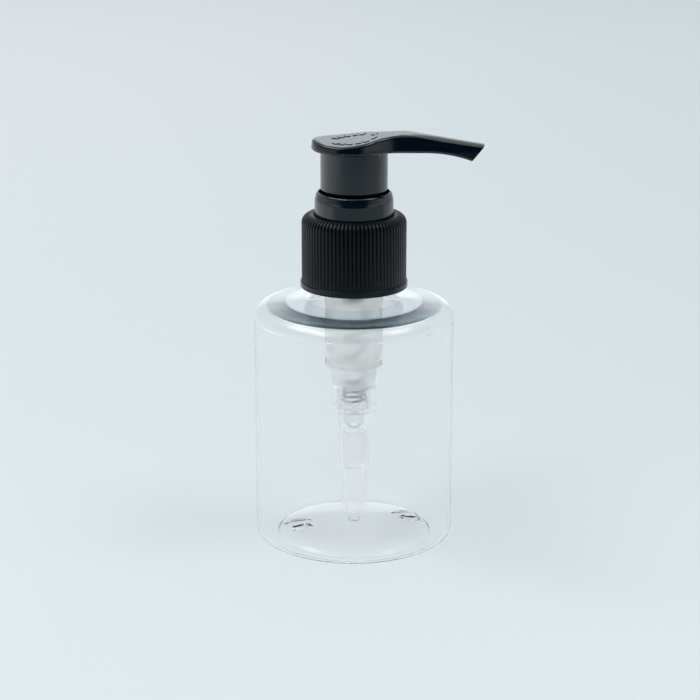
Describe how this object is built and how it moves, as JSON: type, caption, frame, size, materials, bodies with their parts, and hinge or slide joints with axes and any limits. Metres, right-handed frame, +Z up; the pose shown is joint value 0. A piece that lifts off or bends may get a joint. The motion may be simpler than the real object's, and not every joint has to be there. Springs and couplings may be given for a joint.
{
  "type": "soap pump dispenser",
  "caption": "Clear cylinder bottle with a black screw-on lotion pump: saddle head with a spout, sprung press stroke, ribbed closure, piston, valve ball and dip tube.",
  "frame": {"origin": "centre of the flat ring that the bottle stands on, on the axis of the bottle and pump", "axes": "+Z up along the bottle's axis, +X along the spout"},
  "size_m": [0.0594, 0.0522, 0.1084],
  "materials": {
    "clear_pet": "clear, polished",
    "seal": "soft white seal",
    "matt_black": "matt, ribbed",
    "gloss_black": "glossy",
    "satin_black": "satin",
    "white_plastic": "natural white",
    "spring_steel": "bright wire",
    "natural_plastic": "translucent",
    "ball_glass": "polished ball"
  },
  "bodies": {
    "bottle": {"bottle": "clear_pet"},
    "gasket": {"gasket": "seal"},
    "pump": {"pump_housing": "natural_plastic", "chaplet": "gloss_black", "ball_retainer": "natural_plastic", "dip_tube": "natural_plastic"},
    "closure": {"closure": "matt_black"},
    "spring": {"return_spring": "spring_steel"},
    "plunger": {"actuator": "satin_black", "stem": "satin_black", "stem_core": "white_plastic"},
    "piston": {"piston": "white_plastic"},
    "inlet_ball": {"inlet_ball": "ball_glass"}
  },
  "joints": [
    {"name": "pump_lift", "type": "slide", "parent": "bottle", "child": "gasket", "axis": [0, 0, 1], "range_m": [0, 0.085]},
    {"name": "thread_rise", "type": "slide", "parent": "gasket", "child": "pump", "axis": [0, 0, 1], "range_m": [0, 0.0048]},
    {"name": "closure_turn", "type": "hinge", "parent": "pump", "child": "closure", "pos_m": [0, 0, 0.078], "axis": [0, 0, 1], "range_deg": [0, 540]},
    {"name": "head_turn", "type": "hinge", "parent": "pump", "child": "spring", "pos_m": [0, 0, 0.1], "axis": [0, 0, 1], "range_deg": [-90, 0]},
    {"name": "press", "type": "slide", "parent": "spring", "child": "plunger", "axis": [0, 0, 1], "range_m": [-0.009, 0], "stiffness_N_per_m": 600, "springref_m": 0.005, "deforming": ["return_spring"]},
    {"name": "piston_slip", "type": "slide", "parent": "plunger", "child": "piston", "axis": [0, 0, 1], "range_m": [0, 0.001]},
    {"name": "inlet_lift", "type": "slide", "parent": "pump", "child": "inlet_ball", "axis": [0, 0, 1], "range_m": [0, 0.0012]}
  ],
  "couplings": [
    {"joint": "thread_rise", "follows": "closure_turn", "m_per_rad": 0.00050532}
  ]
}
